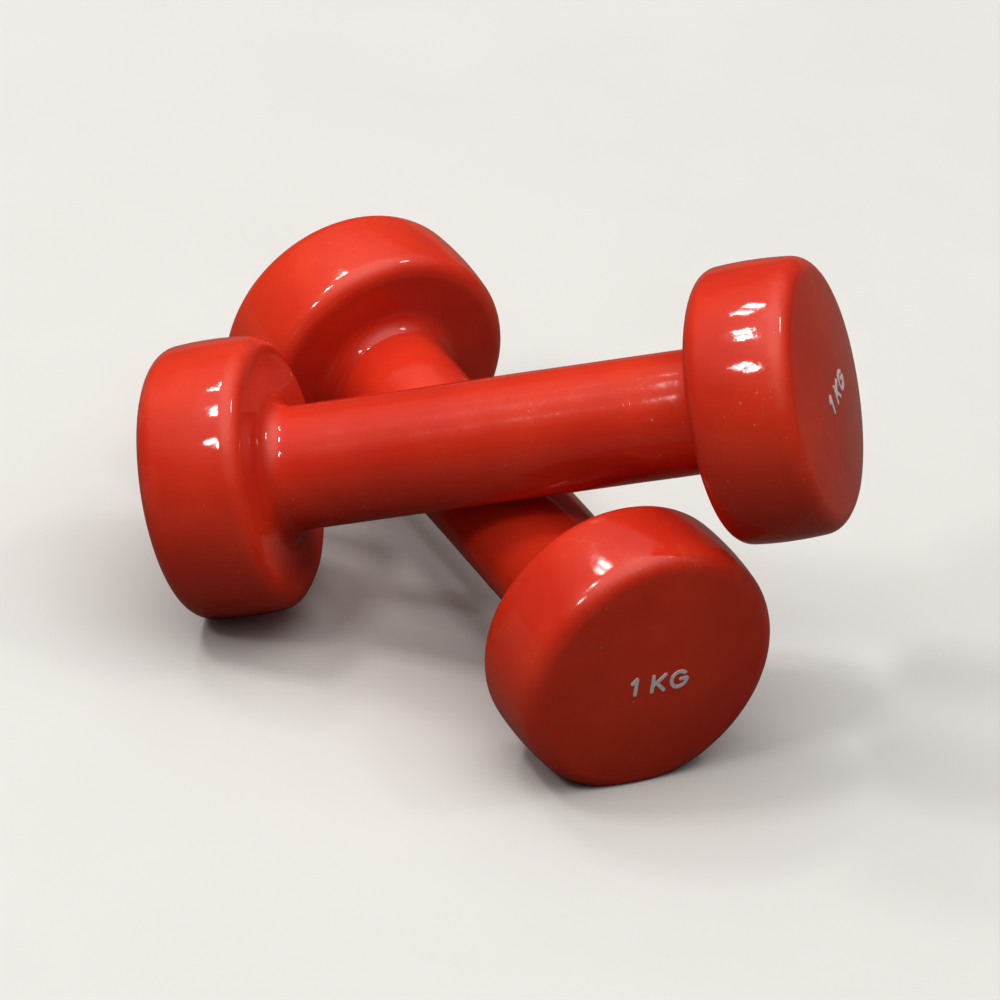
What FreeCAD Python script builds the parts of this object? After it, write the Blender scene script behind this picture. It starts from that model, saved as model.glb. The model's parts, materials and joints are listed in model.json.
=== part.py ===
"""A pair of vinyl-dipped hand weights, one lying across the handle of the other.

Each weight is one iron casting, sealed all over in a soft vinyl skin, with its
weight printed on both end faces. Sizes are in millimetres and degrees.

Every piece is first made in the weight's own frame: the middle of the handle is
the origin, the handle's axis is X, and the flats of both heads face down, -Z.
Then the lower weight is stood on its flats, and the upper one is laid over it.
"""

import FreeCAD, Part
import math
import os

# One weight, measured over its vinyl skin
LENGTH = 142.0             # from the top of one end face to the top of the other
HEAD_DIAMETER = 57.0       # at the middle of the rim, where it bulges most
HEAD_WIDTH = 24.5          # from a head's inner face to the top of its end face
HANDLE_DIAMETER = 25.5
END_BULGE = 2.5            # how far the middle of an end face rises over its edge
RIM_BULGE = 0.8            # how far the middle of the rim rises over its edges
OUTER_EDGE_RADIUS = 4.5    # rim to end face
INNER_EDGE_RADIUS = 4.0    # rim to inner face
THROAT_RADIUS = 4.0        # handle to inner face
FLAT_DEPTH = 2.8           # taken off the bottom of each rim, so it can't roll
FLAT_EDGE_RADIUS = 1.0     # softens the flat's border
COAT_THICKNESS = 1.2       # the vinyl skin, the same all over the casting

# The weight printed on each end face: a figure one and two letters
MARK_HEIGHT = 4.4
MARK_STROKE = 0.8
MARK_THICKNESS = 0.15      # how far the ink stands out of the skin
FIGURE_GAP = 3.0           # clear space after the figure
LETTER_GAP = 0.8           # clear space between the letters

# How the pair lies
CROSSING_ANGLE = 50.8      # between the two handles, seen from above
CROSSING_FROM_HEAD = 24.9  # along the lower handle, from its front head's inner face
HANDLE_GAP = 0.3           # air where the handles cross
HEAD_GAP = 0.6             # air between the raised head and the front head, unrounded

X = FreeCAD.Vector(1, 0, 0)
Y = FreeCAD.Vector(0, 1, 0)
Z = FreeCAD.Vector(0, 0, 1)
CENTRE = FreeCAD.Vector(0, 0, 0)

FINE = 0.02                # facet error of the points that places are worked out from
TINY = 1e-6                # two lengths closer than this are the same
HALVINGS = 22              # steps of each search by halving

half_length = LENGTH / 2
inner_face = half_length - HEAD_WIDTH
end_edge = half_length - END_BULGE
rim_edge = HEAD_DIAMETER / 2 - RIM_BULGE
handle_radius = HANDLE_DIAMETER / 2
flat_height = HEAD_DIAMETER / 2 - FLAT_DEPTH


def line(start, end):
    """A straight edge in the XZ plane, between two (x, z) points."""
    return Part.LineSegment(FreeCAD.Vector(start[0], 0, start[1]),
                            FreeCAD.Vector(end[0], 0, end[1])).toShape()


def arc(start, middle, end):
    """A round edge in the XZ plane, through three (x, z) points."""
    corners = [FreeCAD.Vector(x, 0, z) for x, z in (start, middle, end)]
    return Part.Arc(*corners).toShape()


def head_outline(side):
    """Half of the sharp-cornered outline: handle, inner face, rim and end face."""
    dome_radius = (rim_edge ** 2 + END_BULGE ** 2) / (2 * END_BULGE)
    half_way = math.asin(rim_edge / dome_radius) / 2
    on_dome = (half_length - dome_radius * (1 - math.cos(half_way)),
               dome_radius * math.sin(half_way))
    waist = (0, handle_radius)
    throat = (inner_face, handle_radius)
    inner_corner = (inner_face, rim_edge)
    rim_middle = ((inner_face + end_edge) / 2, HEAD_DIAMETER / 2)
    outer_corner = (end_edge, rim_edge)
    end_middle = (half_length, 0)
    waist, throat, inner_corner, rim_middle, outer_corner, on_dome, end_middle = (
        (side * x, z) for x, z in
        (waist, throat, inner_corner, rim_middle, outer_corner, on_dome, end_middle))
    return [line(waist, throat), line(throat, inner_corner),
            arc(inner_corner, rim_middle, outer_corner),
            arc(outer_corner, on_dome, end_middle)]


def rings(solid, x, radius):
    """The circular edges round the axis at +x and -x that have this radius."""
    found = []
    for edge in solid.Edges:
        if edge.Degenerated or not isinstance(edge.Curve, Part.Circle):
            continue
        right_place = abs(abs(edge.Curve.Center.x) - x) < TINY
        right_size = abs(edge.Curve.Radius - radius) < TINY
        if right_place and right_size:
            found.append(edge)
    return found


def turned_body():
    """The weight as turned on a lathe: fully round, with every corner rounded."""
    edges = head_outline(1) + head_outline(-1)
    edges.append(line((-half_length, 0), (half_length, 0)))
    outline = Part.Wire(Part.__sortEdges__(edges))
    body = Part.Face(outline).revolve(CENTRE, X, 360)
    body = body.makeFillet(OUTER_EDGE_RADIUS, rings(body, end_edge, rim_edge))
    body = body.makeFillet(INNER_EDGE_RADIUS, rings(body, inner_face, rim_edge))
    return body.makeFillet(THROAT_RADIUS, rings(body, inner_face, handle_radius))


def below(height):
    """A block that holds everything under this height."""
    reach = LENGTH + HEAD_DIAMETER
    corner = FreeCAD.Vector(-reach, -reach, -height - reach)
    return Part.makeBox(2 * reach, 2 * reach, reach, corner)


def skin_outside(turned):
    """The finished weight's outer shape, with a soft-edged flat under each head."""
    cut = turned.cut(below(flat_height))
    border = [edge for edge in cut.Edges if edge.BoundBox.ZMax < TINY - flat_height]
    return cut.makeFillet(FLAT_EDGE_RADIUS, border)


def iron_core(turned):
    """The casting: the outer shape, a skin's thickness smaller all round."""
    smaller = turned.makeOffsetShape(-COAT_THICKNESS, FINE)
    return smaller.cut(below(flat_height - COAT_THICKNESS)).Solids[0]


def bar(start, end):
    """One straight pen stroke with round ends, between two (y, z) points, along +X."""
    start, end = (FreeCAD.Vector(0, y, z) for y, z in (start, end))
    along = end - start
    pen = MARK_STROKE / 2
    depth = LENGTH
    block = Part.makeBox(depth, along.Length, MARK_STROKE, FreeCAD.Vector(0, 0, -pen))
    block.Placement = FreeCAD.Placement(start, FreeCAD.Rotation(Y, along))
    tips = [Part.makeCylinder(pen, depth, tip, X) for tip in (start, end)]
    return block.fuse(tips)


def bow(middle, radius, gap_angle):
    """A round pen stroke, open on the right from level up to gap_angle."""
    pen = MARK_STROKE / 2
    middle = FreeCAD.Vector(0, *middle)
    opening = math.radians(gap_angle)
    hoop = Part.makeCylinder(radius + pen, LENGTH, middle, X)
    hoop = hoop.cut(Part.makeCylinder(radius - pen, LENGTH, middle, X))
    reach = 2 * radius
    tip = FreeCAD.Vector(0, reach * math.cos(opening), reach * math.sin(opening))
    level = FreeCAD.Vector(0, reach, 0)
    corner = FreeCAD.Vector(0, reach, reach)
    wedge = Part.Face(Part.makePolygon([middle, middle + level, middle + corner,
                                        middle + tip, middle]))
    return hoop.cut(wedge.extrude(X * LENGTH))


def pen_letters():
    """The figure and the letters as long prisms along +X, centred on the axis."""
    tall = MARK_HEIGHT - MARK_STROKE
    foot, top = -tall / 2, tall / 2
    flag, arm = 0.25 * tall, 0.75 * tall
    bow_radius = tall / 2
    step = MARK_STROKE
    widths = flag + FIGURE_GAP + arm + LETTER_GAP + 2 * bow_radius + 2 * step
    one_y = -widths / 2
    k_y = one_y + flag + step + FIGURE_GAP
    g_y = k_y + arm + step + LETTER_GAP + bow_radius
    stem = one_y + flag
    figure_one = bar((stem, foot), (stem, top)).fuse(
        [bar((one_y, top - flag), (stem, top))])
    letter_k = bar((k_y, foot), (k_y, top)).fuse(
        [bar((k_y, foot + 0.35 * tall), (k_y + arm, top)),
         bar((k_y + 0.3 * arm, foot + 0.55 * tall), (k_y + arm, foot))])
    letter_g = bow((g_y, 0), bow_radius, 40).fuse(
        [bar((g_y + 0.2 * bow_radius, 0), (g_y + bow_radius, 0))])
    return [figure_one, letter_k, letter_g]


def weight_mark(turned):
    """The printed weight on the +X end face: a film of ink in three pieces."""
    film = turned.makeOffsetShape(MARK_THICKNESS, FINE).cut(turned)
    near_end = Part.makeBox(LENGTH, LENGTH, LENGTH,
                            FreeCAD.Vector(end_edge, -half_length, -half_length))
    film = film.common(near_end)
    pieces = [letter.common(film).removeSplitter() for letter in pen_letters()]
    return Part.makeCompound([solid for piece in pieces for solid in piece.Solids])


def turned_round(shape):
    """The same shape at the other end: half a turn about Z."""
    copy = shape.copy()
    copy.rotate(CENTRE, Z, 180)
    return copy


def placed(shape, placement):
    """The shape, moved as a whole."""
    copy = shape.copy()
    copy.Placement = placement.multiply(copy.Placement)
    return copy


def search(low, high, too_low):
    """The value between low and high where too_low(value) turns from true to false."""
    for _ in range(HALVINGS):
        middle = (low + high) / 2
        if too_low(middle):
            low = middle
        else:
            high = middle
    return (low + high) / 2


def laid_over(pitch, slide):
    """Where the upper weight goes, its far head raised by pitch degrees.

    Its axis passes over the crossing point of the lower handle, slide away from
    its own middle, just high enough to leave HANDLE_GAP between the handles.
    """
    tilt = math.radians(pitch)
    across = math.cos(tilt) * math.sin(math.radians(CROSSING_ANGLE))
    apart = HANDLE_DIAMETER + HANDLE_GAP
    rise = apart * math.hypot(math.sin(tilt), across) / across
    crossing = FreeCAD.Vector(inner_face - CROSSING_FROM_HEAD, 0, flat_height + rise)
    turn = FreeCAD.Rotation(Z, CROSSING_ANGLE).multiply(FreeCAD.Rotation(Y, -pitch))
    return FreeCAD.Placement(crossing - turn.multVec(X) * slide, turn)


def touching_pitch(points, slide):
    """The pitch at which the upper weight's lower head just reaches the floor."""
    def above_floor(pitch):
        place = laid_over(pitch, slide)
        return min(place.multVec(point).z for point in points) > 0
    return search(0, 60, above_floor)


def resting_place(outside):
    """The upper weight's place: low head on the floor, raised head clear of the other."""
    stands = FreeCAD.Placement(FreeCAD.Vector(0, 0, flat_height), FreeCAD.Rotation())
    blank = Part.makeCylinder(HEAD_DIAMETER / 2, HEAD_WIDTH, X * inner_face, X)
    front_head = placed(blank, stands)
    points = [point for point in outside.tessellate(FINE)[0] if point.x < 0 and point.z < 0]

    def heads_clear(slide):
        place = laid_over(touching_pitch(points, slide), slide)
        return placed(blank, place).distToShape(front_head)[0] > HEAD_GAP

    slide = search(-half_length, half_length, heads_clear)
    pitch = touching_pitch(points, slide)
    print("upper weight: pitch %.2f degrees, crossing %.2f mm from its middle"
          % (pitch, slide))
    return stands, laid_over(pitch, slide)


def pieces_of_one():
    """The four pieces of one weight, by name, in its own frame."""
    turned = turned_body()
    outside = skin_outside(turned)
    core = iron_core(turned)
    mark = weight_mark(turned)
    return outside, {
        "iron_core": core,
        "vinyl_coat": outside.cut(core).Solids[0],
        "mark_plus": mark,
        "mark_minus": turned_round(mark),
    }


def centred(nodes):
    """All the pieces, moved so that the pair's box is centred over the origin."""
    points = [point for shape in nodes.values() for point in shape.tessellate(FINE)[0]]
    middle_x = (min(p.x for p in points) + max(p.x for p in points)) / 2
    middle_y = (min(p.y for p in points) + max(p.y for p in points)) / 2
    print("lower weight: middle at x %.3f, y %.3f" % (-middle_x, -middle_y))
    print("height over all: %.3f, lowest point: %.3f"
          % (max(p.z for p in points), min(p.z for p in points)))
    shift = FreeCAD.Placement(FreeCAD.Vector(-middle_x, -middle_y, 0),
                              FreeCAD.Rotation())
    return {name: placed(shape, shift) for name, shape in nodes.items()}


def build():
    """Make the pair and write one STEP file for each piece."""
    outside, pieces = pieces_of_one()
    places = dict(zip(("lower", "upper"), resting_place(outside)))
    names = {
        "lower": {"mark_plus": "front_weight_mark", "mark_minus": "rear_weight_mark"},
        "upper": {"mark_plus": "raised_weight_mark", "mark_minus": "low_weight_mark"},
    }
    nodes = {}
    for which, place in places.items():
        for piece, shape in pieces.items():
            name = names[which].get(piece, piece)
            nodes[which + "_" + name] = placed(shape, place)
    os.makedirs("parts", exist_ok=True)
    for name, shape in centred(nodes).items():
        shape.exportStep("parts/" + name + ".step")
        print("%-26s %9.1f mm3, %d solids" % (name, shape.Volume, len(shape.Solids)))


build()
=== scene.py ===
# %% [markdown]
# # Two vinyl-dipped hand weights
#
# Each weight is one iron casting: a round handle between two thick round heads.
# The casting is dipped in liquid vinyl, which sets as a soft, shiny red skin with
# no seam. Its weight is printed in white on both end faces. One weight stands on
# the flats under its heads and the other leans across its handle.
#
# The engineering model already knows where everything is. This lesson loads it as
# a fixed frame, gives each weight a finer skin, and spends its effort on the
# things that make a dipped surface look dipped: soft edges, a slightly uneven
# wall, a wet-looking gloss and the small scuffs of a gym floor.

import json
import math

import bmesh
import bpy
from mathutils import Matrix, Vector, noise


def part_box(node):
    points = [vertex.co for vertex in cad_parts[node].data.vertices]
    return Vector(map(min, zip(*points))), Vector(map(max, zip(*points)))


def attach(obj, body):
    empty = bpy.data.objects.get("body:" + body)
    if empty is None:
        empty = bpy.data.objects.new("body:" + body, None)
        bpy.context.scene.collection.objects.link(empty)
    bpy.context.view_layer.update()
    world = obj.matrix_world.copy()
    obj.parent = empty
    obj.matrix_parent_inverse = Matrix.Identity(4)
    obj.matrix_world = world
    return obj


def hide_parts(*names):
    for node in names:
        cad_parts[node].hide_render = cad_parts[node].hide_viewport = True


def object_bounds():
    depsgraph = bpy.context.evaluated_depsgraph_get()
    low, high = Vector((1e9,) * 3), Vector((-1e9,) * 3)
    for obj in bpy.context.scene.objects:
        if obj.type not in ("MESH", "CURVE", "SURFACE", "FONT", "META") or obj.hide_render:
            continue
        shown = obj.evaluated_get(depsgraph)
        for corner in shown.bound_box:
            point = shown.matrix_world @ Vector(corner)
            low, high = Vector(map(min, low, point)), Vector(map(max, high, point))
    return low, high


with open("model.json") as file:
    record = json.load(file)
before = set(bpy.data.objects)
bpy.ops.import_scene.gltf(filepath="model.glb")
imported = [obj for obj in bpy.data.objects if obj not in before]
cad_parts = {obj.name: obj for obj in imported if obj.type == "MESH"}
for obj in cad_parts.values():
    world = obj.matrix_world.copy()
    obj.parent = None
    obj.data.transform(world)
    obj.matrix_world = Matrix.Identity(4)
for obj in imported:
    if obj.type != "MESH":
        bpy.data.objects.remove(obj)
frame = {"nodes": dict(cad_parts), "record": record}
cad_low, cad_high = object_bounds()
centre = (cad_low + cad_high) / 2
scene = bpy.context.scene
MM = 0.001                  # lengths below are written in millimetres times MM
print("frame: nodes", sorted(frame["nodes"]))
print("frame: box in mm", [round(side / MM, 1) for side in cad_high - cad_low])

# %% [markdown]
# ## Camera
#
# The pair is looked down on from about the height of a standing person's waist, and
# from the front right. A camera could be placed by hand, but two angles and a
# distance round the middle of the pair say the same thing and are easier to
# change. The long lens keeps the pair large in the frame without moving closer,
# so the perspective stays that of a person a couple of steps away. The camera is
# also tipped a little to one side, as a hand-held one is.

# %% Camera
AZIMUTH = math.radians(57.56)      # from straight in front, towards the right
ELEVATION = math.radians(31.73)
DISTANCE = 1.967
ROLL = math.radians(8.29)
LENS = 350                         # millimetres, on a sensor 36 wide
CLIP_START = 0.05
CLIP_END = 30.0
AIM_RIGHT = 5.5 * MM               # the pair's outline isn't centred on its box
AIM_DOWN = 19.0 * MM

back = Vector((math.sin(AZIMUTH) * math.cos(ELEVATION),
               -math.cos(AZIMUTH) * math.cos(ELEVATION),
               math.sin(ELEVATION)))
turn = (-back).to_track_quat("-Z", "Y").to_matrix() @ Matrix.Rotation(ROLL, 3, "Z")
aim = centre + turn @ Vector((AIM_RIGHT, -AIM_DOWN, 0))
place = centre + back * DISTANCE
tilt = turn.col[2].rotation_difference(place - aim).to_matrix()

camera = bpy.data.objects.new("camera", bpy.data.cameras.new("camera"))
scene.collection.objects.link(camera)
camera.data.lens = LENS
camera.data.clip_start = CLIP_START
camera.data.clip_end = CLIP_END
camera.matrix_world = Matrix.Translation(place) @ (tilt @ turn).to_4x4()
scene.camera = camera
print("camera at", [round(v, 3) for v in place])


# %% [markdown]
# ## A way to write shaders as sums
#
# A material is a graph of small nodes. Wired by hand, even "one minus the mask"
# takes three lines. The class below wraps one output of one node, so that an
# ordinary Python expression adds the Math nodes by itself. Every other kind of
# node comes from its one method, which sets the node's options first and then
# fills or links its sockets.

# %% Shader helper
class Signal:
    """One output of a shader node, which can be used in Python sums."""

    def __init__(self, tree, socket=None):
        self.tree = tree
        self.socket = socket

    def node(self, kind, settings=None, sockets=None, output=0):
        """A new node: its settings, then the values or links of its sockets."""
        made = self.tree.nodes.new(kind)
        for name, value in (settings or {}).items():
            if name == "stops":
                ramp = made.color_ramp.elements
                while len(ramp) < len(value):
                    ramp.new(1)
                for stop, (position, shade) in zip(ramp, value):
                    stop.position = position
                    stop.color = (*shade, 1)
            else:
                setattr(made, name, value)
        for name, value in (sockets or {}).items():
            if isinstance(value, Signal):
                self.tree.links.new(value.socket, made.inputs[name])
            else:
                made.inputs[name].default_value = value
        return Signal(self.tree, made.outputs[output])

    def maths(self, operation, *values):
        return self.node("ShaderNodeMath", {"operation": operation},
                         dict(enumerate(values)))

    def __add__(self, other):
        return self.maths("ADD", self, other)

    def __radd__(self, other):
        return self.maths("ADD", other, self)

    def __sub__(self, other):
        return self.maths("SUBTRACT", self, other)

    def __rsub__(self, other):
        return self.maths("SUBTRACT", other, self)

    def __mul__(self, other):
        return self.maths("MULTIPLY", self, other)

    def __rmul__(self, other):
        return self.maths("MULTIPLY", other, self)

    def __abs__(self):
        return self.maths("ABSOLUTE", self)

    def power(self, exponent):
        return self.maths("POWER", self, exponent)

    def step(self, low, high):
        """0 below low, 1 above high, with a soft rise between them."""
        return self.node("ShaderNodeMapRange", {"interpolation_type": "SMOOTHSTEP"},
                         {"Value": self, "From Min": low, "From Max": high})

    def blend(self, first, second):
        """The first colour where this is 0 and the second where it is 1."""
        return self.node("ShaderNodeMix", {"data_type": "RGBA"},
                         {0: self, 6: first, 7: second}, output=2)


print("a Signal has", [name for name in vars(Signal) if "_" not in name])


# %% [markdown]
# Every finish starts the same way, with a new material and some cloudy noise, and
# ends by plugging its sums into the shader. Blender gives a noise's scale as
# blotches to the metre. Here it is given as the size of a blotch, so that a grain
# can be compared with the thing it is on.

# %% Material helpers
def new_material(name):
    """An empty material, with a Signal to build on and its Principled shader."""
    material = bpy.data.materials.new(name)
    material.use_nodes = True
    tree = material.node_tree
    shader = next(n for n in tree.nodes if n.type == "BSDF_PRINCIPLED")
    return material, Signal(tree), shader


def connect(shader, **signals):
    """Links signals to the shader's sockets, base_color to Base Color and so on."""
    for name, signal in signals.items():
        socket = shader.inputs[name.replace("_", " ").title()]
        shader.id_data.links.new(signal.socket, socket)


def grain(start, position, size, detail=2.0, roughness=0.5):
    """Cloudy noise from 0 to 1, whose blotches are about this size in metres."""
    return start.node("ShaderNodeTexNoise", {"noise_dimensions": "3D"},
                      {"Vector": position, "Scale": 1 / size, "Detail": detail,
                       "Roughness": roughness})


print("material helpers ready")

# %% [markdown]
# ## The shape's sizes
#
# The skin replaces a plain piece of the frame, so its sizes have to be that
# piece's own. Length, head size and the depth of the flats are read from its box,
# and the handle from the grip that the record describes. Only the roundings are
# given here, because a box can't show them.

# %% Sizes of one weight
mounts = {mount["name"]: mount for mount in frame["record"]["mounts"]}
skin_low, skin_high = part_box("lower_vinyl_coat")
length, head_diameter, height = skin_high - skin_low
grip = mounts["lower_grip"]["dims"]

END_BULGE = 2.5 * MM               # the middle of an end face over its edge
RIM_BULGE = 0.8 * MM               # the middle of the rim over its edges
OUTER_EDGE_RADIUS = 4.5 * MM
INNER_EDGE_RADIUS = 4.0 * MM
THROAT_RADIUS = 4.0 * MM

half_length = length / 2
handle_radius = grip["r_mm"] * MM
inner_face = grip["length_mm"] * MM / 2 + THROAT_RADIUS
end_edge = half_length - END_BULGE
rim_edge = head_diameter / 2 - RIM_BULGE
flat_height = height - head_diameter / 2
print("one weight: length %.1f, head %.1f by %.1f, handle %.1f mm"
      % (length / MM, head_diameter / MM, (half_length - inner_face) / MM,
         2 * handle_radius / MM))

# %% [markdown]
# ## The outline
#
# A weight is a turned shape, so it could be cut from cylinders and bevelled. But
# bevels leave faces of very uneven size, and a glossy skin shows each one. Drawing
# the outline once, as lines and arcs that flow into each other, and spinning it
# round the handle gives even faces everywhere. Each rounding is a small circle
# that touches its two neighbours, so its centre is where two larger or smaller
# copies of them meet.


# %% Circles, arcs and lines
def bulge_circle(half_width, bulge):
    """Radius of the arc that rises by bulge over a chord twice half_width wide."""
    return (half_width ** 2 + bulge ** 2) / (2 * bulge)


def circles_meet(first, first_radius, second, second_radius):
    """Where two circles cross, on the side away from the handle's axis."""
    apart = second - first
    along = (apart.length_squared + first_radius ** 2 - second_radius ** 2)
    along /= 2 * apart.length
    aside = math.sqrt(first_radius ** 2 - along ** 2)
    way = apart.normalized()
    ends = [first + way * along + side * aside * Vector((-way.y, way.x))
            for side in (-1, 1)]
    return max(ends, key=lambda point: point.y)


def arc(middle, start, end, spacing):
    """Points on the arc round middle from start to end, without the end."""
    begin, finish = start - middle, end - middle
    sweep = math.atan2(begin.cross(finish), begin.dot(finish))
    steps = max(6, round(begin.length * abs(sweep) / spacing))
    turned = [Matrix.Rotation(sweep * i / steps, 2) @ begin for i in range(steps)]
    return [middle + point for point in turned]


def straight(start, end, spacing):
    """Evenly spaced points from start towards end, without the end."""
    steps = max(2, round((end - start).length / spacing))
    return [start.lerp(end, i / steps) for i in range(steps)]


def touching_point(big_centre, small_centre, big_radius):
    """Where a small circle inside a big one touches it."""
    return big_centre + (small_centre - big_centre).normalized() * big_radius


print("dome radius in mm:", round(bulge_circle(rim_edge, END_BULGE) / MM, 1))


# %% [markdown]
# Both ends of a weight are the same, so half an outline is enough: from the middle
# of the handle through the throat, up the inner face, over the rim and in to the
# middle of the end face. Its points lie closer together on the head than on the
# handle, because the small roundings are there.

# %% Outline of half a weight
def half_outline(fine, coarse):
    """(x, radius) points from the handle's middle out to the middle of the end face."""
    rim_radius = bulge_circle((end_edge - inner_face) / 2, RIM_BULGE)
    rim_centre = Vector(((inner_face + end_edge) / 2, head_diameter / 2 - rim_radius))
    dome_radius = bulge_circle(rim_edge, END_BULGE)
    dome_centre = Vector((half_length - dome_radius, 0))

    throat = Vector((inner_face - THROAT_RADIUS, handle_radius + THROAT_RADIUS))
    inner_x = inner_face + INNER_EDGE_RADIUS
    reach = rim_radius - INNER_EDGE_RADIUS
    rise = math.sqrt(reach ** 2 - (inner_x - rim_centre.x) ** 2)
    inner = Vector((inner_x, rim_centre.y + rise))
    outer = circles_meet(rim_centre, rim_radius - OUTER_EDGE_RADIUS,
                         dome_centre, dome_radius - OUTER_EDGE_RADIUS)

    handle_end = Vector((throat.x, handle_radius))
    face_start = Vector((inner_face, throat.y))
    face_end = Vector((inner_face, inner.y))
    rim_start = touching_point(rim_centre, inner, rim_radius)
    rim_end = touching_point(rim_centre, outer, rim_radius)
    dome_start = touching_point(dome_centre, outer, dome_radius)
    return (straight(Vector((0, handle_radius)), handle_end, coarse)
            + arc(throat, handle_end, face_start, fine)
            + straight(face_start, face_end, fine)
            + arc(inner, face_end, rim_start, fine)
            + arc(rim_centre, rim_start, rim_end, fine)
            + arc(outer, rim_end, dome_start, fine)
            + arc(dome_centre, dome_start, Vector((half_length, 0)), fine))


FINE = 0.6 * MM                    # spacing of points on a head
COARSE = 1.4 * MM                  # and along the handle
half = half_outline(FINE, COARSE)
mirrored = [Vector((-point.x, point.y)) for point in reversed(half[1:])]
outline = mirrored + half
print("outline:", len(outline), "points")

# %% [markdown]
# ## The skin
#
# Spinning the outline gives a perfect body, and a dipped skin isn't perfect. The
# vinyl is thicker in some places than in others, and the casting's rough surface
# shows through as slow, shallow waves. You can't see waves a tenth of a millimetre
# deep, but you do see the highlights wobble over them, so they are made in the mesh
# and not painted on. They only ever go inwards, which keeps the skin inside the
# frame's box, and they die out near the middle of each end face, where the print
# has to stay seated.
#
# The flats under the heads come last. Each point that would be lower than the flat
# is lifted to it, and a soft maximum rounds the flat's border in the same move.

# %% Waves and flats
FLAT_SOFTNESS = 0.9 * MM           # how far from the flat the rounding starts
WAVE_DEPTH = 0.12 * MM
WAVE_SIZE = 17 * MM
RIPPLE_DEPTH = 0.022 * MM
RIPPLE_SIZE = 6 * MM
CALM_START = 8 * MM                # the print's own half width, and a little
CALM_END = 16 * MM


def soft_floor(z, floor):
    """z, or the floor where z is lower, with a rounded change between the two."""
    gap = max(FLAT_SOFTNESS - abs(z - floor), 0) / FLAT_SOFTNESS
    return max(z, floor) + gap * gap * FLAT_SOFTNESS / 4


def waves(point, seed):
    """How far the skin sinks at this point, from 0 to the two depths together."""
    slow = noise.noise(point / WAVE_SIZE + seed)
    quick = noise.noise(point / RIPPLE_SIZE - seed)
    return WAVE_DEPTH * (0.5 + 0.5 * slow) + RIPPLE_DEPTH * (0.5 + 0.5 * quick)


def calm(point):
    """0 over the print in the middle of each end face, 1 away from it."""
    if abs(point.x) < end_edge:
        return 1
    share = (math.hypot(point.y, point.z) - CALM_START) / (CALM_END - CALM_START)
    return min(max(share, 0), 1)


print("deepest wave in mm:", round((WAVE_DEPTH + RIPPLE_DEPTH) / MM, 3))

# %% Mesh of one skin
SEGMENTS = 352                     # faces round the handle


def skin_mesh(name, seed):
    """One weight's closed skin, in its own frame: handle along X, flats down."""
    mesh = bmesh.new()
    rings = []
    turns = [2 * math.pi * i / SEGMENTS for i in range(SEGMENTS)]
    for x, radius in outline[1:-1]:
        rings.append([mesh.verts.new((x, radius * math.cos(turn), radius * math.sin(turn)))
                      for turn in turns])
    ends = [mesh.verts.new((x, 0, 0)) for x in (-half_length, half_length)]
    for low, high in zip(rings, rings[1:]):
        for i in range(SEGMENTS):
            j = (i + 1) % SEGMENTS
            mesh.faces.new((low[i], high[i], high[j], low[j]))
    for i in range(SEGMENTS):
        j = (i + 1) % SEGMENTS
        mesh.faces.new((ends[0], rings[0][i], rings[0][j]))
        mesh.faces.new((ends[1], rings[-1][j], rings[-1][i]))

    bmesh.ops.recalc_face_normals(mesh, faces=mesh.faces)
    for vertex in mesh.verts:
        vertex.normal_update()
    moves = [vertex.normal * waves(vertex.co, seed) * calm(vertex.co)
             for vertex in mesh.verts]
    for vertex, move in zip(mesh.verts, moves):
        vertex.co -= move
        vertex.co.z = soft_floor(vertex.co.z, -flat_height)
    for face in mesh.faces:
        face.smooth = True
    data = bpy.data.meshes.new(name)
    mesh.to_mesh(data)
    mesh.free()
    return data


print("one skin:", (len(outline) - 1) * SEGMENTS, "faces")


# %% [markdown]
# ## Where each weight lies
#
# The same body serves both weights, so each is built level and then moved. The
# move could be two angles copied by hand, but the record's grips already give the
# middle and the direction of each handle, and the flats always face down. Moving
# the mesh, and not the object, keeps the object's box tight round a leaning weight.

# %% Both skins
def own_frame(mount):
    """Where a weight's own frame is, from its grip's middle and axis."""
    along = Vector(mount["axis"]).normalized()
    aside = Vector((0, 0, 1)).cross(along).normalized()
    up = along.cross(aside)
    turned = Matrix((along, aside, up)).transposed().to_4x4()
    return Matrix.Translation(Vector(mount["pos_m"])) @ turned


homes = {which: own_frame(mounts[which + "_grip"]) for which in ("lower", "upper")}
seeds = {"lower": Vector((3.1, 0.7, 8.2)), "upper": Vector((9.4, 5.3, 1.6))}
skins = {}
for which, home in homes.items():
    shape = skin_mesh(which + "_skin", seeds[which])
    shape.transform(home)
    skin = bpy.data.objects.new(which + "_skin", shape)
    scene.collection.objects.link(skin)
    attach(skin, which + "_weight")
    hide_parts(which + "_vinyl_coat")
    skins[which] = skin
    print(skin.name, len(skin.data.polygons), "faces")

# %% [markdown]
# ## Red vinyl
#
# Dipped vinyl is one colour right through, with a gloss that comes from the liquid
# setting smooth. Three things keep it from looking like painted plastic. The colour
# drifts a little between orange and crimson. The gloss is broken by fine orange
# peel. And the corners, where a weight meets the floor or its neighbour, are
# rubbed duller than the rest.
#
# The rubbed bands could be painted by hand, but the shape is so regular that a
# distance does it: how far a point is from the circle that runs round each
# corner. For that the shader needs to know where a point lies along the handle
# and how far from it, which three dot products with the weight's own axes give.
# They use the object's coordinates, so the wear stays put when it is lifted.

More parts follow.
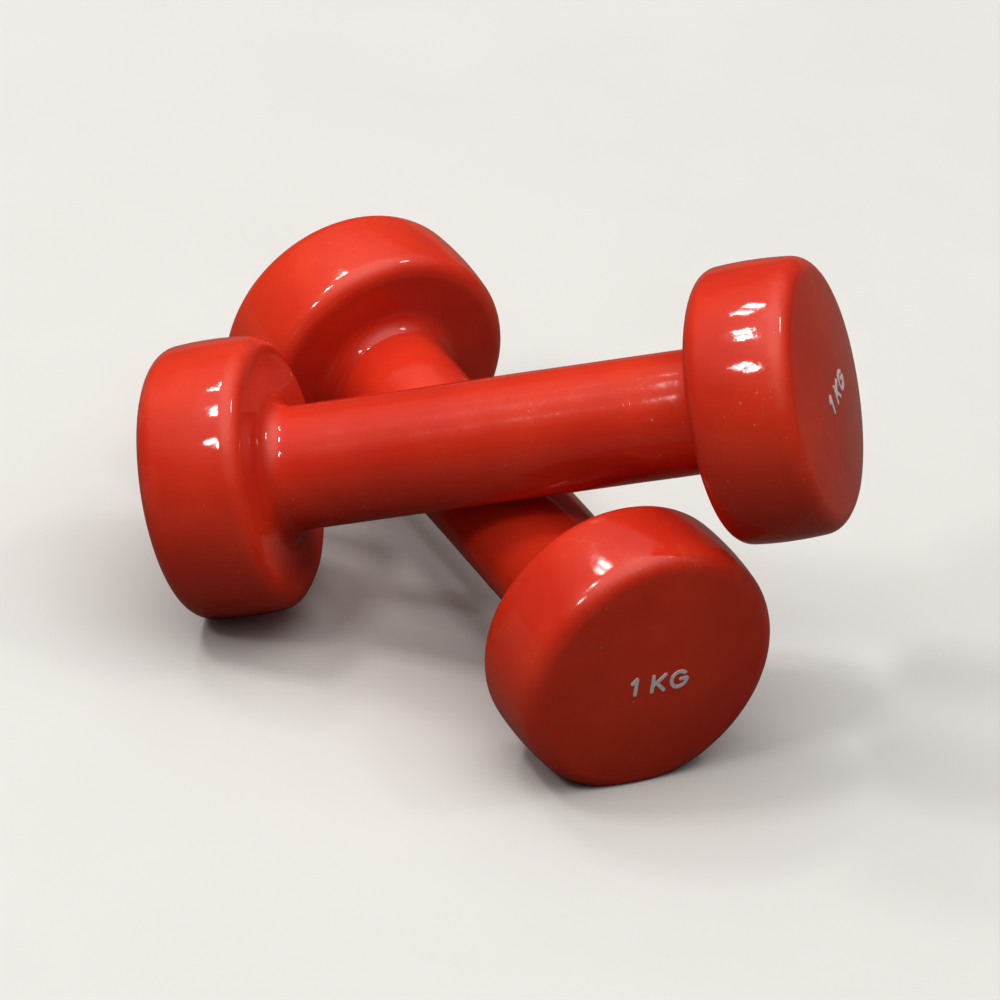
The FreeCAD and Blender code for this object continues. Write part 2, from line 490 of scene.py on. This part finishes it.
# %% Where a skin is worn
OUTER_WEAR = 5 * MM                # how far wear spreads from a corner
INNER_WEAR = 4 * MM
CORNER_IN = 1.5 * MM               # a rounded corner's middle, in from its faces
CORNER_DOWN = 1.0 * MM
FLAT_WEAR = (0.1 * MM, 1.2 * MM)   # above the flat: full wear, then none
BLOTCH = 11 * MM                   # sizes of the blotches that break the wear up
PATCH = 19 * MM                    # and of the places with scratches
SCRATCH = 3.2 * MM                 # size of the noise that is stretched into lines
SCRATCH_WAYS = ((1.0, 0.12, 0.25), (0.15, 1.0, 0.30))


def edge_band(x, radius, edge_x, edge_radius, width):
    """1 on the circle round a corner of either head, falling to 0 at this width."""
    off = ((abs(x) - edge_x).power(2) + (radius - edge_radius).power(2)).power(0.5)
    return 1 - off.step(0, width)


def rubbed_places(start, place, home):
    """1 where the skin is rubbed: blotches on each corner, and the flats."""
    offset = start.node("ShaderNodeVectorMath", {"operation": "SUBTRACT"},
                        {0: place, 1: home.translation})
    x, y, z = (start.node("ShaderNodeVectorMath", {"operation": "DOT_PRODUCT"},
                          {0: offset, 1: home.col[i].xyz}, output=1)
               for i in range(3))
    radius = (y.power(2) + z.power(2)).power(0.5)
    corner = rim_edge - CORNER_DOWN
    outer = edge_band(x, radius, end_edge - CORNER_IN, corner, OUTER_WEAR)
    inner = edge_band(x, radius, inner_face + CORNER_IN, corner, INNER_WEAR)
    blotches = grain(start, place, BLOTCH, 4, 0.6).step(0.48, 0.68)
    flat = 1 - (z + flat_height).step(*FLAT_WEAR)
    rubbed = (outer + inner * 0.5) * blotches + flat * 0.8
    return rubbed.maths("MINIMUM", rubbed, 1.0)


def fine_scratches(start, place):
    """Thin lines, where a stretched noise passes its middle value."""
    ways = []
    for stretch in SCRATCH_WAYS:
        stretched = start.node("ShaderNodeVectorMath", {"operation": "MULTIPLY"},
                               {0: place, 1: stretch})
        lines = abs(grain(start, stretched, SCRATCH, 1.0) - 0.5)
        ways.append(1 - lines.step(0.004, 0.016))
    return ways[0] + ways[1]


print("corner wear in mm:", OUTER_WEAR / MM, "outside,", INNER_WEAR / MM, "inside")

# %% [markdown]
# The finish puts these together. Wear works on everything at once: a rubbed place
# is paler, duller and grainier. That is why it is made once and then feeds the
# colour, the roughness and the height.

# %% Red vinyl
RED = (0.75, 0.059, 0.021, 1)
DEEP_RED = (0.60, 0.037, 0.017, 1)
RUBBED_RED = (0.66, 0.115, 0.072, 1)
DUST = (0.60, 0.46, 0.38, 1)

DRIFT = 38 * MM                    # size of the colour's slow drift
SPECK = 1.1 * MM                   # of specks of dust
HAZE = 21 * MM                     # of cloudy places in the gloss
PEEL = 3.0 * MM                    # of the orange peel
FINE_GRAIN = 0.5 * MM              # and of the grain that a rubbed place shows
CLEAN_ROUGHNESS = 0.07
HAZE_ROUGHNESS = 0.08              # the next three are added to the clean one
RUBBED_ROUGHNESS = 0.16
SCRATCHED_ROUGHNESS = 0.25
PEEL_HEIGHT = 0.034                # heights in millimetres
GRAIN_HEIGHT = 0.0022
SCRATCH_DEPTH = 0.006
VINYL_IOR = 1.46


def red_vinyl(name, home):
    """The finish of the weight whose own frame is home."""
    material, start, shader = new_material(name)
    place = start.node("ShaderNodeTexCoord", output=3)
    rubbed = rubbed_places(start, place, home)
    patches = grain(start, place, PATCH, 2.0).step(0.47, 0.62)
    scratches = fine_scratches(start, place) * patches * (0.22 + rubbed * 0.6)

    # Colour: a slow drift, then paler where it is rubbed or scratched
    drift = grain(start, place, DRIFT, 3.0).step(0.30, 0.72)
    colour = drift.blend(DEEP_RED, RED)
    colour = (rubbed * 0.35 + scratches * 0.35).blend(colour, RUBBED_RED)
    specks = grain(start, place, SPECK, 1.0).step(0.74, 0.79)
    colour = (specks * patches * 0.3).blend(colour, DUST)

    # Gloss: hazier where hands have been, dull where rubbed
    haze = grain(start, place, HAZE, 4.0).step(0.40, 0.66)
    roughness = (CLEAN_ROUGHNESS + haze * HAZE_ROUGHNESS + rubbed * RUBBED_ROUGHNESS
                 + scratches * SCRATCHED_ROUGHNESS)

    # Height: orange peel over a finer grain, cut by the scratches
    peel = grain(start, place, PEEL, 2.0) * PEEL_HEIGHT
    fine = grain(start, place, FINE_GRAIN, 2.0) * GRAIN_HEIGHT
    surface = peel + fine * (1 + rubbed * 4) - scratches * SCRATCH_DEPTH
    bump = start.node("ShaderNodeBump", None,
                      {"Strength": 1.0, "Distance": MM, "Height": surface})

    connect(shader, base_color=colour, roughness=roughness, normal=bump)
    shader.inputs["IOR"].default_value = VINYL_IOR
    return material


for which, skin in skins.items():
    skin.data.materials.append(red_vinyl(which + "_red_vinyl", homes[which]))
    print(skin.name, "is in", skin.data.materials[0].name)

# %% [markdown]
# ## White print
#
# The weight is stamped on with white ink, which sits on the skin as a thin film.
# A decal picture would do, but the frame already holds the figures as real pieces,
# so they only need an ink. Handling wears the high spots away, so the ink lets
# some red through and is never quite white.

# %% White print
INK = (0.76, 0.75, 0.76, 1)
WORN_INK = (0.60, 0.16, 0.12, 1)
RUB = 0.7 * MM
SMUDGE = 4 * MM


def white_ink():
    """Printed ink that lets the red through where it is rubbed."""
    material, start, shader = new_material("white_print")
    own = start.node("ShaderNodeTexCoord", output=3)
    rub = grain(start, own, RUB, 3.0, 0.65).step(0.60, 0.74)
    smudge = grain(start, own, SMUDGE, 2.0).step(0.35, 0.75)
    colour = (rub * (0.35 + smudge * 0.5)).blend(INK, WORN_INK)
    roughness = 0.38 + rub * 0.2
    film = start.node("ShaderNodeBump", None,
                      {"Strength": 1.0, "Distance": MM, "Height": 0.02 * rub})
    connect(shader, base_color=colour, roughness=roughness, normal=film)
    return material


finishes = {"white_ink": white_ink()}
print("ink:", finishes["white_ink"].name)

# %% [markdown]
# ## Cast iron
#
# Nobody sees the casting, but it is there for whoever cuts a weight open. Raw
# sand-cast iron is dark and dull, with a pebbly grain and a few rusty patches.

# %% Cast iron
IRON = (0.075, 0.073, 0.072, 1)
BRIGHT_IRON = (0.16, 0.155, 0.15, 1)
RUST = (0.16, 0.055, 0.022, 1)
SAND = 0.8 * MM
RUST_PATCH = 16 * MM


def cast_iron():
    """Dark pebbly iron with rust, which is no metal any more."""
    material, start, shader = new_material("sand_cast_iron")
    own = start.node("ShaderNodeTexCoord", output=3)
    sand = grain(start, own, SAND, 4.0, 0.6)
    rusty = grain(start, own, RUST_PATCH, 5.0, 0.6).step(0.56, 0.70)
    colour = sand.step(0.35, 0.75).blend(IRON, BRIGHT_IRON)
    colour = (rusty * 0.7).blend(colour, RUST)
    roughness = 0.55 + sand * 0.25 + rusty * 0.15
    metal = 0.8 - rusty * 0.7
    pebbles = start.node("ShaderNodeBump", None,
                         {"Strength": 1.0, "Distance": MM, "Height": 0.12 * sand})
    connect(shader, base_color=colour, roughness=roughness, metallic=metal,
            normal=pebbles)
    return material


finishes["cast_iron"] = cast_iron()
print("iron:", finishes["cast_iron"].name)

# %% [markdown]
# ## Ink and iron on the frame's own pieces
#
# The figures and the castings keep the exact shapes of the frame. Naming each one
# here would work, but the record already says what every piece is made of, so its
# own list picks the finish. The skins have theirs and are passed over.

# %% Dress the frame's own pieces
for part in frame["record"]["subparts"]:
    node = frame["nodes"][part["node"]]
    finish = finishes.get(part["material_slot"])
    if finish:
        node.data.materials.clear()
        node.data.materials.append(finish)
        print(node.name, "is in", finish.name)

# %% [markdown]
# ## Floor
#
# The floor is a stage and not part of the object: pale, matt, and wide enough that
# its edge doesn't show from above. A very faint mottle keeps it from looking like a
# flat background colour.
#
# A pale floor would also shine up into the undersides and mirror in the gloss,
# and turn deep red into pink. A darker card just out of sight would stop that. Here
# the floor itself is the card: the camera sees it pale, while bounced light and
# reflections meet it dark and warm.

# %% Floor
FLOOR_RADIUS = 9.0
FLOOR_SIDES = 96
MOTTLE = 50 * MM
FLOOR_DROP = 0.05 * MM             # just under the weights, so no faces coincide
PALE = (0.62, 0.605, 0.575, 1)
PALER = (0.66, 0.645, 0.615, 1)
MAT = (0.15, 0.13, 0.11, 1)        # what bounced light and reflections meet
FLOOR_ROUGHNESS = 0.75
FLOOR_SHINE = 0.1

floor_shape = bmesh.new()
bmesh.ops.create_circle(floor_shape, cap_ends=True, segments=FLOOR_SIDES,
                        radius=FLOOR_RADIUS)
floor_data = bpy.data.meshes.new("floor")
floor_shape.to_mesh(floor_data)
floor_shape.free()
floor = bpy.data.objects.new("floor", floor_data)
floor.location.z = cad_low.z - FLOOR_DROP
scene.collection.objects.link(floor)

floor_finish, start, shader = new_material("pale_floor")
own = start.node("ShaderNodeTexCoord", output=3)
mottle = grain(start, own, MOTTLE, 4.0)
seen = start.node("ShaderNodeLightPath", output=0)
connect(shader, base_color=seen.blend(MAT, mottle.blend(PALE, PALER)),
        roughness=FLOOR_ROUGHNESS + mottle * 0.1)
shader.inputs["Specular IOR Level"].default_value = FLOOR_SHINE
floor_data.materials.append(floor_finish)
print("floor at z", floor.location.z)

# %% [markdown]
# ## Light
#
# A glossy thing is lit by what it reflects. A dome that is bright overhead and
# fades towards the horizon gives the rounded tops their soft sheen and leaves the
# undersides deep red. An even grey sky would be simpler, but it would light the
# undersides as well and flatten the round shapes.

# %% Dome
DOME = [(0.0, (0.025, 0.025, 0.026)), (0.45, (0.04, 0.04, 0.041)),
        (0.75, (0.34, 0.34, 0.34)), (0.95, (1.0, 1.0, 1.0))]
BACKDROP = (0.22, 0.215, 0.205, 1)  # what the camera sees behind the floor's edge
DOME_STRENGTH = 1.9

world = bpy.data.worlds.new("dome")
world.use_nodes = True
scene.world = world
sky = Signal(world.node_tree)
way = sky.node("ShaderNodeTexCoord", output=0)
upward = sky.node("ShaderNodeSeparateXYZ", None, {0: way}, output=2)
shade = sky.node("ShaderNodeValToRGB", {"stops": DOME}, {0: upward})
seen = sky.node("ShaderNodeLightPath", output=0)
background = next(n for n in world.node_tree.nodes if n.type == "BACKGROUND")
world.node_tree.links.new(seen.blend(shade, BACKDROP).socket, background.inputs["Color"])
background.inputs["Strength"].default_value = DOME_STRENGTH
print("dome strength", DOME_STRENGTH)

# %% [markdown]
# The crisp highlights on the rims and rounded edges come in pairs, as twin ceiling
# fittings give. Bright spots in the dome could make them, but lamps are easier to
# move. There are four pairs of small softboxes. They are hidden from the camera,
# so that no view is blocked by one.

# %% Softboxes
LAMP_DISTANCE = 2.3
LAMP_WIDTH = 0.15
LAMP_HEIGHT = 0.20


def softbox(name, around, above, watts):
    """A rectangular lamp that faces the pair, at these angles in degrees."""
    lamp = bpy.data.objects.new(name, bpy.data.lights.new(name, "AREA"))
    lamp.data.shape = "RECTANGLE"
    lamp.data.size = LAMP_WIDTH
    lamp.data.size_y = LAMP_HEIGHT
    lamp.data.energy = watts
    around, above = math.radians(around), math.radians(above)
    way = Vector((math.cos(around) * math.cos(above),
                  math.sin(around) * math.cos(above), math.sin(above)))
    lamp.location = centre + way * LAMP_DISTANCE
    lamp.rotation_mode = "QUATERNION"
    lamp.rotation_quaternion = way.to_track_quat("Z", "Y")
    lamp.visible_camera = False
    scene.collection.objects.link(lamp)
    print(name, "at", [round(v, 2) for v in lamp.location])


def twin_softboxes(name, around, above, apart, watts):
    """Two lamps side by side, this many degrees apart, as in a ceiling fitting."""
    for side, share in (("a", -0.5), ("b", 0.5)):
        softbox(name + "_" + side, around + share * apart, above, watts)


# name, degrees round from the right, degrees up, degrees between the two, watts
twin_softboxes("left_softbox", -120, 57, 9, 4.2)
twin_softboxes("front_softbox", -80, 45, 7, 3.4)
twin_softboxes("far_left_softbox", -160, 53, 9, 2.5)
twin_softboxes("back_softbox", 78, 57, 9, 1.6)

# No film look, only a little more contrast
scene.view_settings.view_transform = "Standard"
scene.view_settings.look = "Medium High Contrast"
